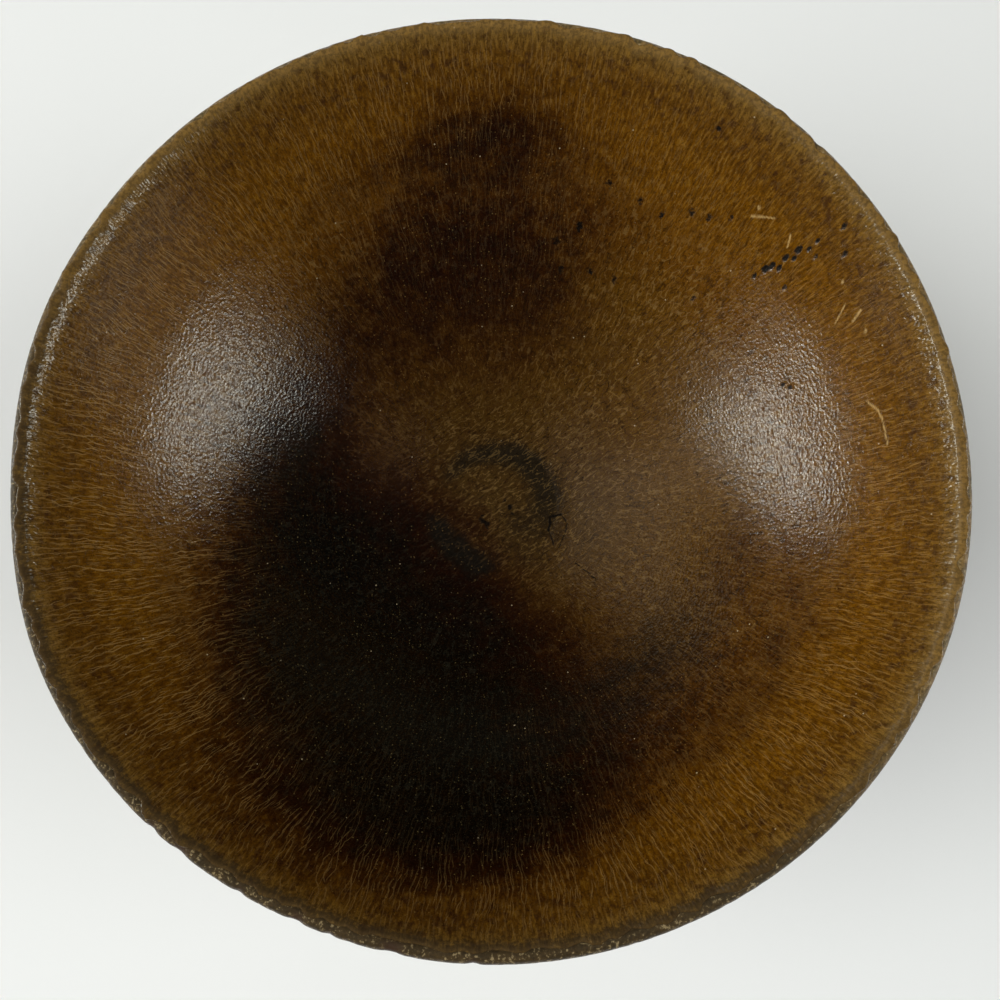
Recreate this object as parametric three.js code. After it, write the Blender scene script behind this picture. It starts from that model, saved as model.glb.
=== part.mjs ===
// A stoneware tea bowl on a luted pedestal foot, with a thick streaked glaze inside and out.
// Millimetres and degrees, +Z up, origin at the centre of the ring that the foot stands on.

import * as THREE from 'three';
import { ParametricGeometry } from 'three/addons/geometries/ParametricGeometry.js';

// Bowl, thrown in one piece
const RIM_RADIUS = 60; // outside of the glazed lip
const BOWL_DEPTH = 45; // top of the glazed lip to the clay floor of the well
const LIP_THICKNESS = 1.4; // clay, fully rounded at the top
const LIP_SLOPE = 57; // direction in which the wall runs out at the lip
const NECK_INSET = 8.4; // inside of the wall where the lip starts to flare, in from the rim
const NECK_DROP = 10.5; // the same place, below the top of the lip
const NECK_SLOPE = 55;
const NECK_THICKNESS = 3.4;
const WELL_RADIUS = 11; // flat floor in the middle, with a turned edge
const WELL_SLOPE = 20; // wall where it leaves the well
const FLOOR_THICKNESS = 7; // clay between the well and the seat of the foot
const SEAT_RADIUS = 19; // where the outside of the wall comes down on the foot
const SEAT_SLOPE = 30;
const WALL_EASE = 16; // how far each end of the wall holds its slope
const LIP_EASE = 5; // the same, on the short stretch between neck and lip

// Pedestal foot, thrown as an open ring and luted on with slip
const FOOT_HEIGHT = 18;
const FOOT_FLARE = 5; // standing ring, out from the seat
const FOOT_EDGE = 2.4; // upright edge of the standing ring
const FOOT_ARRIS = 0.8; // rounding under that edge
const WAIST_INSET = 2.2; // narrowest part, in from the seat
const WAIST_DROP = 5; // narrowest part, below the top of the foot
const STANDING_WIDTH = 5.5; // flat of the standing ring
const SEAT_WIDTH = 6.5; // flat at the top of the foot
const BORE_LENGTH = 4; // straight part of the hollow, at the top
const SLIP_THICKNESS = 0.6;
const BOSS_HEIGHT = 2.5; // boss under the bowl that centres the foot

// Glaze coats
const INNER_GLAZE = 0.6;
const WELL_POOL = 1.3; // glaze gathered on the floor of the well
const OUTER_GLAZE = 0.9;
const LIP_GLAZE = 0.3; // thin skin left on the lip
const LIP_CLIMB = 0.55; // how far the inner coat climbs the round of the lip
const LIP_BAND_OUTSIDE = 2; // thin skin below the round, outside
const GLAZE_ROUND = 1.6; // length over which a coat rounds off at its edge
const COAT_GAP = 0.15; // clearance between a coat and what it meets

// Hem of the outer glaze: a thick wavy roll with a few long runs
const HEM_HEIGHT = 11; // along the wall, up from the seat
const HEM_WAVE = 1.6; // up and down from that height
const HEM_LOBES = 4; // waves round the bowl, crossed by a finer set
const HEM_FINE_LOBES = 7;
const HEM_ROLL = 2; // thickness of the roll
const HEM_REACH = 5; // length over which the coat swells to the roll
const RUN_ANGLES = [70, 205, 318];
const RUN_LENGTH = 4.5;
const RUN_WIDTH = 13;
const RUN_SWELL = 0.7; // extra thickness at the tip of a run

// Facets
const SEGMENTS = 48; // around the axis
const WALL_STEPS = 10;
const LIP_STEPS = 6;
const FLARE_STEPS = 4;
const FOOT_STEPS = 5;
const COAT_STEPS = 32; // around the section of a wall coat
const SKIN_STEPS = 22; // around the section of the lip's skin

// Finishes
const CLAY = { color: 0x5b4337, roughness: 0.85 };
const SLIP = { color: 0x6a5041, roughness: 0.9 };
const INSIDE_COAT = { color: 0x4a2b0e, roughness: 0.15 };
const OUTSIDE_COAT = { color: 0x3d240d, roughness: 0.15 };
const LIP_SKIN = { color: 0x6e6045, roughness: 0.4 };

const FULL_TURN = 360;
const HALF_TURN = FULL_TURN / 2;
const QUARTER_TURN = FULL_TURN / 4;
const { degToRad, lerp } = THREE.MathUtils;

// Levels
const seatZ = FOOT_HEIGHT + SLIP_THICKNESS;
const wellZ = seatZ + FLOOR_THICKNESS;
const topZ = wellZ + BOWL_DEPTH;
const bossZ = seatZ - BOSS_HEIGHT;

// Radii of the seat
const boreRadius = SEAT_RADIUS - SEAT_WIDTH;
const bossRadius = boreRadius - SLIP_THICKNESS;

function heading(degrees) {
  return new THREE.Vector2(Math.cos(degToRad(degrees)), Math.sin(degToRad(degrees)));
}

// A smooth stretch of wall that leaves one point and reaches another at the given slopes.
function stretch(start, startSlope, end, endSlope, ease) {
  const leave = start.clone().addScaledVector(heading(startSlope), ease);
  const arrive = end.clone().addScaledVector(heading(endSlope), -ease);
  return new THREE.CubicBezierCurve(start, leave, arrive, end);
}

// Outline of the clay, as radius and height: across the well, up the inside, over the lip, down the outside
const lipRound = LIP_THICKNESS / 2;
const lipCover = LIP_GLAZE + COAT_GAP;
const lipCentre = new THREE.Vector2(RIM_RADIUS - lipCover - lipRound, topZ - lipCover - lipRound);
const lipAcross = heading(LIP_SLOPE - QUARTER_TURN);
const lipInside = lipCentre.clone().addScaledVector(lipAcross, -lipRound);
const lipOutside = lipCentre.clone().addScaledVector(lipAcross, lipRound);
const neckInside = new THREE.Vector2(RIM_RADIUS - NECK_INSET, topZ - NECK_DROP);
const neckOutside = neckInside.clone().addScaledVector(heading(NECK_SLOPE - QUARTER_TURN), NECK_THICKNESS);
const wellCentre = new THREE.Vector2(0, wellZ);
const wellEdge = new THREE.Vector2(WELL_RADIUS, wellZ);
const seatEdge = new THREE.Vector2(SEAT_RADIUS, seatZ);

const wellFloor = new THREE.LineCurve(wellCentre, wellEdge);
const innerWall = stretch(wellEdge, WELL_SLOPE, neckInside, NECK_SLOPE, WALL_EASE);
const innerFlare = stretch(neckInside, NECK_SLOPE, lipInside, LIP_SLOPE, LIP_EASE);
const lipTop = new THREE.EllipseCurve(
  lipCentre.x,
  lipCentre.y,
  lipRound,
  lipRound,
  degToRad(LIP_SLOPE + QUARTER_TURN),
  degToRad(LIP_SLOPE - QUARTER_TURN),
  true,
);
const outerFlare = stretch(lipOutside, LIP_SLOPE + HALF_TURN, neckOutside, NECK_SLOPE + HALF_TURN, LIP_EASE);
const outerWall = stretch(neckOutside, NECK_SLOPE + HALF_TURN, seatEdge, SEAT_SLOPE + HALF_TURN, WALL_EASE);

const clay = new THREE.CurvePath();
for (const curve of [wellFloor, innerWall, innerFlare, lipTop, outerFlare, outerWall]) {
  clay.add(curve);
}
const [, , lipStart, lipEnd, , seatEnd] = clay.getCurveLengths();

// A point beside the clay, from how far along the outline it lies and how far away from it.
function beside(along, away) {
  const share = along / clay.getLength();
  const tangent = clay.getTangent(share);
  const normal = new THREE.Vector2(-tangent.y, tangent.x);
  return clay.getPoint(share).addScaledVector(normal, away);
}

// How full a coat is at a distance from its edge, as a quarter of an ellipse.
function roundOff(distance) {
  const flat = Math.min(distance / GLAZE_ROUND, 1);
  return Math.sqrt(1 - (1 - flat) ** 2);
}

// Section of a coat: turn 0 to 1/2 follows its back along the clay, and 1/2 to 1 comes back along its face.
function coatPoint(turn, from, to, thickness) {
  const onFace = turn > 0.5;
  const share = onFace ? 2 - 2 * turn : 2 * turn;
  const along = lerp(from, to, (1 - Math.cos(Math.PI * share)) / 2);
  return beside(along, onFace ? COAT_GAP + thickness(along) : COAT_GAP);
}

function coatSection(steps, from, to, thickness) {
  return Array.from({ length: steps + 1 }, (_, step) => coatPoint(step / steps, from, to, thickness));
}

// Turns a closed section, given as radius and height, round the upright axis.
function revolve(section) {
  return new THREE.LatheGeometry(section, SEGMENTS).rotateX(Math.PI / 2);
}

function bowlBody() {
  const outline = [
    wellCentre,
    ...innerWall.getPoints(WALL_STEPS),
    ...innerFlare.getPoints(FLARE_STEPS).slice(1),
    ...lipTop.getPoints(LIP_STEPS).slice(1),
    ...outerFlare.getPoints(FLARE_STEPS).slice(1),
    ...outerWall.getPoints(WALL_STEPS).slice(1),
    new THREE.Vector2(bossRadius, seatZ),
    new THREE.Vector2(bossRadius, bossZ),
    new THREE.Vector2(0, bossZ),
  ];
  return revolve(outline.reverse());
}

function pedestalFoot() {
  const ringRadius = SEAT_RADIUS + FOOT_FLARE;
  const ringInside = ringRadius - STANDING_WIDTH;
  const waistRadius = SEAT_RADIUS - WAIST_INSET;
  const waistZ = FOOT_HEIGHT - WAIST_DROP;
  const boreZ = FOOT_HEIGHT - BORE_LENGTH;
  const outline = new THREE.Path();
  outline.moveTo(ringInside, 0);
  outline.lineTo(ringRadius - FOOT_ARRIS, 0);
  outline.quadraticCurveTo(ringRadius, 0, ringRadius, FOOT_ARRIS);
  outline.lineTo(ringRadius, FOOT_EDGE);
  outline.bezierCurveTo(waistRadius, FOOT_EDGE, waistRadius, (FOOT_EDGE + waistZ) / 2, waistRadius, waistZ);
  outline.quadraticCurveTo(waistRadius, (waistZ + FOOT_HEIGHT) / 2, SEAT_RADIUS, FOOT_HEIGHT);
  outline.lineTo(boreRadius, FOOT_HEIGHT);
  outline.lineTo(boreRadius, boreZ);
  outline.quadraticCurveTo(boreRadius, 0, ringInside, 0);
  return revolve(outline.getPoints(FOOT_STEPS));
}

// Fills the seat on top of the foot and the ring between the boss and the bore.
function lutingSlip() {
  const section = [
    [SEAT_RADIUS, FOOT_HEIGHT],
    [SEAT_RADIUS, seatZ],
    [bossRadius, seatZ],
    [bossRadius, bossZ],
    [boreRadius, bossZ],
    [boreRadius, FOOT_HEIGHT],
    [SEAT_RADIUS, FOOT_HEIGHT],
  ];
  return revolve(section.map(([radius, height]) => new THREE.Vector2(radius, height)));
}

// The inner coat gathers towards the well and rounds off on the lip.
function innerGlaze() {
  const edge = lipStart + LIP_CLIMB;
  const thickness = (along) => lerp(WELL_POOL, INNER_GLAZE, along / edge) * roundOff(edge - along);
  return revolve(coatSection(COAT_STEPS, 0, edge, thickness));
}

function lipGlaze() {
  const from = lipStart + LIP_CLIMB + COAT_GAP;
  const to = lipEnd + LIP_BAND_OUTSIDE - COAT_GAP;
  const thickness = (along) => LIP_GLAZE * roundOff(along - from) * roundOff(to - along);
  return revolve(coatSection(SKIN_STEPS, from, to, thickness));
}

// How much of a run there is at an angle, from 0 between the runs to 1 on a run.
function runShare(angle) {
  const shares = RUN_ANGLES.map((run) => {
    const turn = Math.abs(angle - run) % FULL_TURN;
    const apart = Math.min(turn, FULL_TURN - turn);
    return Math.exp(-((apart / RUN_WIDTH) ** 2));
  });
  return Math.max(...shares);
}

// Height of the hem above the seat: two crossing waves, pulled down at the runs.
function hemHeight(angle) {
  const broad = Math.sin(degToRad(HEM_LOBES * angle));
  const fine = Math.cos(degToRad(HEM_FINE_LOBES * angle));
  return HEM_HEIGHT + (HEM_WAVE * (broad + fine)) / 2 - RUN_LENGTH * runShare(angle);
}

// The outer coat starts below the lip and ends in the roll of the hem, which changes round the bowl.
function outerGlaze() {
  const from = lipEnd + LIP_BAND_OUTSIDE;
  const place = (around, turn, target) => {
    const angle = FULL_TURN * around;
    const hem = seatEnd - hemHeight(angle);
    const roll = HEM_ROLL + RUN_SWELL * runShare(angle) - OUTER_GLAZE;
    const thickness = (along) => {
      const swell = roll * Math.exp(-(((hem - along) / HEM_REACH) ** 2));
      return (OUTER_GLAZE + swell) * roundOff(along - from) * roundOff(hem - along);
    };
    const { x: radius, y: height } = coatPoint(turn, from, hem, thickness);
    target.set(radius * Math.cos(degToRad(angle)), radius * Math.sin(degToRad(angle)), height);
  };
  return new ParametricGeometry(place, SEGMENTS, COAT_STEPS);
}

const bowl = new THREE.Group();

function addPart(name, geometry, finish) {
  const mesh = new THREE.Mesh(geometry, new THREE.MeshStandardMaterial({ ...finish, metalness: 0 }));
  mesh.name = name;
  bowl.add(mesh);
}

addPart('bowl_body', bowlBody(), CLAY);
addPart('pedestal_foot', pedestalFoot(), CLAY);
addPart('luting_slip', lutingSlip(), SLIP);
addPart('inner_glaze', innerGlaze(), INSIDE_COAT);
addPart('outer_glaze', outerGlaze(), OUTSIDE_COAT);
addPart('lip_glaze', lipGlaze(), LIP_SKIN);

export default bowl;
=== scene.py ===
"""Looks of a stoneware tea bowl on a pedestal foot, in metres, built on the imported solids."""

import math
from types import SimpleNamespace

import bmesh
import bpy
import numpy as np
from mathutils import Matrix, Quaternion, Vector


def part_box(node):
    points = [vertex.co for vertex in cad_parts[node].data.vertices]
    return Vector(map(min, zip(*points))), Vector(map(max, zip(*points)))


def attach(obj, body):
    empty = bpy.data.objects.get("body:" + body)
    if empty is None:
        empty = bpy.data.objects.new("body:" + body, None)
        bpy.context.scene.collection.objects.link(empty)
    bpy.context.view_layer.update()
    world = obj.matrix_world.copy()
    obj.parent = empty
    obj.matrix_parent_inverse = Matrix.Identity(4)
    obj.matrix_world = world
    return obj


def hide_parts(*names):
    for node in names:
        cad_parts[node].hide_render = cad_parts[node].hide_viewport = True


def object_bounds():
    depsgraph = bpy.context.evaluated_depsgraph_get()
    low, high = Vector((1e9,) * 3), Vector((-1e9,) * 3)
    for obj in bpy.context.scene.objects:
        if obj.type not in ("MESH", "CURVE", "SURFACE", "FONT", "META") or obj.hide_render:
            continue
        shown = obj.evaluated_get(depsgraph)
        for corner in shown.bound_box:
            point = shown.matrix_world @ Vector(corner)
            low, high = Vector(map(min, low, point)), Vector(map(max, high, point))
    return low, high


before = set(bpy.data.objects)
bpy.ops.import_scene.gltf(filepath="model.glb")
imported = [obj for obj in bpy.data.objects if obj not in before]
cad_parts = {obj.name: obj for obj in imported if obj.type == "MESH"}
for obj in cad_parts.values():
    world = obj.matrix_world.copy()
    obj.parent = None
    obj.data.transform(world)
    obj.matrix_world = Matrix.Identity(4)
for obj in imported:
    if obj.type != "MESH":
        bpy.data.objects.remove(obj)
cad_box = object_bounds()

MM = 0.001
FULL_TURN = 2 * math.pi
SEED = 7
rng = np.random.default_rng(SEED)

# Sizes read from the solids
_, foot_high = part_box("pedestal_foot")
_, slip_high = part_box("luting_slip")
body_low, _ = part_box("bowl_body")
RIM_RADIUS = cad_box[1][0]
TOP = cad_box[1][2]
FOOT_HEIGHT = foot_high.z
RING_RADIUS = foot_high.x
SEAT_RADIUS = slip_high.x
SEAT_Z = slip_high.z
BOSS_Z = body_low.z
SLIP_THICKNESS = SEAT_Z - FOOT_HEIGHT

# Section of the clay
FLOOR_THICKNESS = 7 * MM
LIP_THICKNESS = 1.2 * MM
LIP_SLOPE = 57
NECK_INSET = 8.0 * MM
NECK_DROP = 10.8 * MM
NECK_SLOPE = 55
NECK_THICKNESS = 3.4 * MM
WELL_RADIUS = 11 * MM
WELL_SLOPE = 20
WELL_FILLET = 4.5 * MM
FILLET_EASE = 0.6
SEAT_SLOPE = 30
WALL_EASE = 16 * MM
LIP_EASE = 5 * MM
SEAT_WIDTH = 6.5 * MM
STANDING_WIDTH = 5.5 * MM
FOOT_EDGE = 2.4 * MM
FOOT_ARRIS = 0.8 * MM
WAIST_INSET = 2.2 * MM
WAIST_DROP = 5 * MM
BORE_LENGTH = 4 * MM
SLIP_BULGE = 0.3 * MM

# Turning marks on the bare clay, as depth and pitch, and how far from the foot's ends they begin and fade
BARE_LENGTH = 20 * MM
WALL_TURNING = 0.035 * MM
WALL_TURNING_PITCH = 1.3 * MM
FOOT_TURNING = 0.07 * MM
FOOT_TURNING_PITCH = 1.5 * MM
TURNING_START = 0.5 * MM
TURNING_STOP = 0.4 * MM
TURNING_FADE = 1 * MM

# Glaze coats
INNER_GLAZE = 0.42 * MM
WELL_POOL = 1.3 * MM
OUTER_GLAZE = 0.9 * MM
OUTER_START = 0.3
OUTER_TAPER = 9 * MM
LIP_GLAZE = 0.18 * MM
LIP_BAND_OUTSIDE = 2 * MM
GLAZE_ROUND = 1.6 * MM
COAT_GAP = 0.15 * MM
COAT_LAP = 2.2 * MM
HEM_HEIGHT = 11 * MM
HEM_WAVE = 1.6 * MM
HEM_LOBES = 4
HEM_FINE_LOBES = 7
HEM_ROLL = 2 * MM
HEM_REACH = 5 * MM
HEM_ROUND = 2.6 * MM
RUN_ANGLES = (70, 205, 318)
RUN_LENGTH = 4.5 * MM
RUN_WIDTH = 13
RUN_SWELL = 0.7 * MM
START_WAVE = 0.2 * MM
HEM_RAGGED = 0.12 * MM
OUTER_SWELL = 0.05 * MM
HEM_DARK = 0.9
HEM_DARK_REACH = 9 * MM
OUTER_DRY_EDGE = 1.6 * MM
STREAK_MEAN = 0.5
STREAK_SWING = 0.3
STREAK_MOST = 0.85

# Where the inner coat ends: it climbs the round of the lip and dips below it in front
CREST_REACH = 0.85 * MM
CREST_DIP = 0.7 * MM
DIP_ANGLE = 265
DIP_WIDTH = 50
EDGE_WAVE = 0.26 * MM
EDGE_ROUND = 0.4 * MM
# The coat thins towards its edge, over a longer stretch at one side
LIP_THINNING = 1.1 * MM
LONG_THINNING = 1.6 * MM
LONG_ANGLE = 146
LONG_WIDTH = 26
LIP_FALL = 0.085
SKIN_LEAST = 0.06 * MM
SKIN_BACK = 0.02 * MM
SKIN_INSIDE = 0.35
SKIN_GAIN = 0.55
SKIN_GRAIN = 0.03 * MM
CHIP_FULL = 0.2 * MM
CHIP_PLACE = 2 / 3

# Relief of the inner face: a slow swell, the groove about the well and the hairlines
INNER_SWELL = 0.03 * MM
GROOVE_DEPTH = 0.06 * MM
GROOVE_WIDTH = 0.7 * MM
HAIRLINE_DEPTH = 0.03 * MM
HAIRLINE_STAIN = 0.85
INNER_DRY_EDGE = 1.8 * MM

# Seeded ripples: how many waves are summed, the most of them round the bowl and how fast they climb
EDGE_RIPPLE = {"count": 12, "most": 140}
SWELL_RIPPLE = {"count": 12, "most": 9}
GRAIN_RIPPLE = {"count": 14, "most": 240, "pitch": 4}
START_RIPPLE = {"count": 10, "most": 50}
HEM_RIPPLE = {"count": 8, "most": 40}
STREAK_RIPPLE = {"count": 10, "most": 7, "pitch": 0.2}
RIPPLE_CLIMB = (0.4, 1.6)
RIPPLE_LENGTH = 3 * MM

# Hand-made irregularity: bumps of the rim as angle, width in degrees and height in mm
RIM_BUMPS = (
    (62, 20, 0.55),
    (8, 20, -0.45),
    (147, 14, -0.25),
    (184, 16, -0.6),
    (205, 12, 0.25),
    (246, 16, -0.35),
)
RIM_SAG = 0.25 * MM
SAG_TURN = 0.6
SETTLE_POWER = 3
# Painted light on the lip's skin and on the dry edges of the coats: palest at this angle, with painted shade
# across from it
PAINTED_LIGHT_ANGLE = 60
# Chips of the lip as angle, width and depth in mm
LIP_CHIPS = (
    (229, 0.7, 0.2), (233, 1.0, 0.25), (241, 0.6, 0.2), (248, 0.9, 0.25),
    (252, 0.5, 0.2), (259, 1.2, 0.25), (268, 0.6, 0.2), (44, 0.8, 0.2),
)

# Pits inside the bowl: angle in degrees, millimetres down the wall from the lip, half width and strength
PITS = (
    (37.5, 17.8, 0.28, 1.0), (37.0, 15.9, 0.42, 1.0), (36.6, 14.8, 0.36, 1.0), (35.5, 14.2, 0.32, 0.9),
    (36.0, 12.5, 0.36, 0.9), (32.5, 15.3, 0.3, 0.7), (35.0, 11.6, 0.28, 0.8), (35.5, 10.3, 0.42, 0.9),
    (34.5, 9.0, 0.26, 0.8), (34.5, 7.4, 0.26, 0.8), (33.0, 9.0, 0.28, 0.7), (30.5, 5.4, 0.32, 0.7),
    (33.5, 3.3, 0.32, 0.7), (18.0, 22.5, 0.24, 1.0), (17.0, 21.7, 0.24, 1.0), (53.0, 17.2, 0.5, 0.55),
    (50.0, 16.2, 0.42, 0.5), (47.0, 14.2, 0.34, 0.5), (43.0, 27.1, 0.34, 0.6), (71.5, 26.6, 0.46, 0.9),
    (68.5, 18.9, 0.5, 0.55), (57.5, 19.9, 0.42, 0.55), (62.0, 19.6, 0.46, 0.5), (75.5, 29.8, 0.5, 0.7),
    (66.0, 32.8, 0.5, 0.6), (60.0, 32.4, 0.42, 0.6), (73.0, 34.0, 0.5, 0.6), (56.0, 5.1, 0.3, 0.7),
)
PIT_SPREAD = 1.2
PIT_STRETCH = 1.5
PIT_DEPTH = 0.11 * MM
# Light scratches and spots: both ends as angle and depth in the same terms, then half the width
LIGHT_MARKS = (
    (38.0, 9.8, 37.0, 11.3, 0.12), (44.5, 12.0, 43.0, 10.9, 0.16), (43.0, 10.9, 41.5, 9.9, 0.1),
    (44.5, 10.3, 44.4, 10.4, 0.24), (27.5, 7.7, 27.4, 7.8, 0.2), (24.5, 9.0, 22.8, 11.7, 0.09),
    (22.5, 7.4, 21.7, 9.1, 0.17), (19.5, 8.0, 19.4, 8.1, 0.24), (9.5, 11.0, 8.0, 9.9, 0.12),
    (8.0, 9.9, 6.5, 9.5, 0.14), (6.5, 9.5, 2.5, 9.3, 0.1),
)
# Dark hairlines in and about the well, as the scratches are
DARK_MARKS = (
    (349.5, 66.5, 337.0, 66.2, 0.26), (349.5, 66.5, 353.0, 64.7, 0.22), (337.0, 66.2, 327.0, 64.1, 0.12),
    (353.0, 64.7, 346.5, 63.3, 0.1), (346.5, 63.3, 335.5, 63.2, 0.1), (335.5, 63.2, 327.0, 63.0, 0.1),
    (226.5, 74.0, 257.5, 73.4, 0.4), (25.0, 74.2, 354.5, 73.7, 0.22), (354.5, 73.7, 330.5, 72.7, 0.16),
    (324.5, 59.1, 322.5, 53.6, 0.1),
)
# Dark ground under the glaze, partly painted shade on the walls turned away from the light at about 240 to
# 345 degrees: angle, depth, spread round in degrees, spread down, strength
DARK_GROUND_AND_PAINTED_SHADE = (
    (168, 42, 30, 11, 0.6), (200, 46, 30, 18, 0.88), (228, 36, 30, 18, 0.97), (252, 27, 24, 15, 0.97),
    (268, 22, 24, 12, 0.92), (288, 34, 22, 13, 0.42), (314, 32, 24, 12, 0.35), (344, 33, 14, 6, 0.35),
    (332, 20, 46, 8, 0.34), (245, 52, 60, 14, 0.72), (262, 44, 34, 16, 0.6), (245, 12, 30, 9, 0.35),
    (208, 3, 34, 6, 0.22), (180, 62, 40, 8, 0.4), (215, 72, 80, 8, 0.3), (258, 62, 30, 8, 0.4),
    (89, 14, 18, 8, 0.55), (112, 17, 20, 5, 0.2), (94, 29, 28, 12, 0.58), (100, 52, 60, 12, 0.25),
    (85, 42, 34, 10, 0.3), (122, 38, 34, 13, 0.4), (66, 24, 14, 7, 0.2), (75, 38, 10, 9, 0.2),
    (244, 38, 26, 10, 0.75),
)
# Blue-black stain in a ring about the well and in the darkest ground, in the same terms; the patch at 50
# degrees is a painted reflection haze that greys the glaze
BLUE_STAIN_AND_PAINTED_HAZE = (
    (104, 67.4, 34, 2.2, 0.75), (60, 66.8, 34, 2.6, 0.85), (15, 67.0, 34, 2.8, 0.75),
    (135, 67.7, 24, 1.8, 0.5), (335, 70, 60, 7.0, 0.5), (205, 66.8, 20, 2.4, 0.95),
    (232, 67.3, 22, 2.6, 0.95), (256, 66.4, 16, 2.4, 0.95), (168, 38, 18, 8, 0.35),
    (240, 34, 50, 9, 0.5), (272, 34, 24, 7, 0.45), (316, 37, 24, 10, 0.5), (50, 44, 34, 10, 0.25),
)
# Where the light streaks show best, in the same terms
STREAK_FIELD = (
    (180, 14, 50, 15, 0.9), (235, 12, 36, 11, 0.32), (290, 7, 36, 8, 0.35), (325, 9, 30, 9, 0.45),
    (95, 6, 36, 10, 0.35), (8, 12, 30, 10, 0.4), (270, 24, 360, 20, 0.16),
)


# Section outlines

LEAST_MOVE = 1e-7
FLOOR_STEPS = 100
FILLET_STEPS = 60
WALL_STEPS = 600
FLARE_STEPS = 160
LIP_STEPS = 120
ARRIS_STEPS = 24
FOOT_STEPS = 120
LINE_STEPS = 16
SLIP_STEPS = 16


def heading(degrees):
    return np.array([math.cos(math.radians(degrees)), math.sin(math.radians(degrees))])


def curve(steps, *points):
    """Points of a smooth curve from the first point to the last, pulled towards those between."""
    t = np.linspace(0, 1, steps)[:, None]
    last = len(points) - 1
    return sum(math.comb(last, k) * (1 - t) ** (last - k) * t**k * point for k, point in enumerate(points))


def stretch(start, start_slope, end, end_slope, ease, steps):
    """Points of a smooth stretch of wall that leaves start and reaches end at the given slopes."""
    return curve(steps, start, start + ease * heading(start_slope), end - ease * heading(end_slope), end)


def line(start, end, steps):
    return start + np.linspace(0, 1, steps)[:, None] * (end - start)


class Outline:
    """A path of radius and height, measured along its length, with the normal on its left."""

    def __init__(self, *stretches):
        points = np.vstack(stretches)
        moves = np.linalg.norm(np.diff(points, axis=0), axis=1)
        self.points = points[np.append(True, moves > LEAST_MOVE)]
        lengths = np.linalg.norm(np.diff(self.points, axis=0), axis=1)
        self.along = np.append(0, np.cumsum(lengths))
        tangent = np.gradient(self.points, self.along, axis=0)
        tangent /= np.linalg.norm(tangent, axis=1)[:, None]
        self.normal = np.stack([-tangent[:, 1], tangent[:, 0]], axis=1)

    @property
    def length(self):
        return self.along[-1]

    def beside(self, along, away):
        """Radius and height of points at a distance from the path."""
        radius = np.interp(along, self.along, self.points[:, 0])
        height = np.interp(along, self.along, self.points[:, 1])
        out = np.interp(along, self.along, self.normal[:, 0])
        up = np.interp(along, self.along, self.normal[:, 1])
        return radius + away * out, height + away * up


well_z = SEAT_Z + FLOOR_THICKNESS
bore_radius = SEAT_RADIUS - SEAT_WIDTH
boss_radius = bore_radius - SLIP_THICKNESS
lip_round = LIP_THICKNESS / 2
lip_cover = LIP_GLAZE + COAT_GAP
lip_centre = np.array([RIM_RADIUS - lip_cover - lip_round, TOP - INNER_GLAZE - COAT_GAP - lip_round])
lip_across = heading(LIP_SLOPE - 90)
lip_inside = lip_centre - lip_round * lip_across
lip_outside = lip_centre + lip_round * lip_across
neck_inside = np.array([RIM_RADIUS - NECK_INSET, TOP - NECK_DROP])
neck_outside = neck_inside + NECK_THICKNESS * heading(NECK_SLOPE - 90)
well_edge = np.array([WELL_RADIUS, well_z])
seat_edge = np.array([SEAT_RADIUS, SEAT_Z])


def clay_outline():
    """Across the well, up the inside, over the lip and down the outside, with the marks between them."""
    wall = stretch(well_edge, WELL_SLOPE, neck_inside, NECK_SLOPE, WALL_EASE, WALL_STEPS)
    wall = wall[np.linalg.norm(wall - well_edge, axis=1) > WELL_FILLET]
    rise = wall[1] - wall[0]
    wall_slope = math.degrees(math.atan2(rise[1], rise[0]))
    floor_end = well_edge - np.array([WELL_FILLET, 0])
    floor = line(np.array([0, well_z]), floor_end, FLOOR_STEPS)
    fillet = stretch(floor_end, 0, wall[0], wall_slope, WELL_FILLET * FILLET_EASE, FILLET_STEPS)
    flare = stretch(neck_inside, NECK_SLOPE, lip_inside, LIP_SLOPE, LIP_EASE, FLARE_STEPS)
    turn = np.radians(np.linspace(LIP_SLOPE + 90, LIP_SLOPE - 90, LIP_STEPS))
    lip = lip_centre + lip_round * np.stack([np.cos(turn), np.sin(turn)], axis=1)
    back = stretch(lip_outside, LIP_SLOPE + 180, neck_outside, NECK_SLOPE + 180, LIP_EASE, FLARE_STEPS)
    outside = stretch(neck_outside, NECK_SLOPE + 180, seat_edge, SEAT_SLOPE + 180, WALL_EASE, WALL_STEPS)
    inner = Outline(floor, fillet, wall, flare)
    over = Outline(floor, fillet, wall, flare, lip)
    return Outline(floor, fillet, wall, flare, lip, back, outside), inner.length, over.length


clay, lip_start, lip_end = clay_outline()


# Meshes turned about the axis

CROWD_STEPS = 4000


def bell(far):
    return np.exp(-(far**2))


def unit(values):
    return np.clip(values, 0, 1)


def bump(angle, centre, width):
    """A smooth bump round the bowl, 1 at its centre, with angles in degrees."""
    apart = (np.degrees(angle) - centre + 180) % 360 - 180
    return bell(apart / width)


def crowded(steps, *crowds):
    """Shares from 0 to 1, closer together about each crowd's centre, width and density."""
    fine = np.linspace(0, 1, CROWD_STEPS)
    weight = np.ones(CROWD_STEPS)
    for centre, width, density in crowds:
        weight += density * bell((fine - centre) / width)
    total = np.append(0, np.cumsum((weight[1:] + weight[:-1]) / 2))
    return np.interp(np.linspace(0, total[-1], steps), total, fine)


def even_angles(columns):
    return np.linspace(0, FULL_TURN, columns + 1)[:-1, None]


def ripple(angle, along, count, most, pitch=1.0):
    """A seeded sum of waves round the bowl and along the wall, about -1 to 1."""
    total = np.zeros(np.broadcast(angle, along).shape)
    for _ in range(count):
        waves = rng.integers(1, most)
        phase = rng.uniform(0, FULL_TURN)
        climb = rng.uniform(*RIPPLE_CLIMB) * pitch
        total += np.sin(waves * angle + climb * along / RIPPLE_LENGTH + phase)
    return total / math.sqrt(count)


rim_lift = max(size for _, _, size in RIM_BUMPS) * MM


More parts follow.
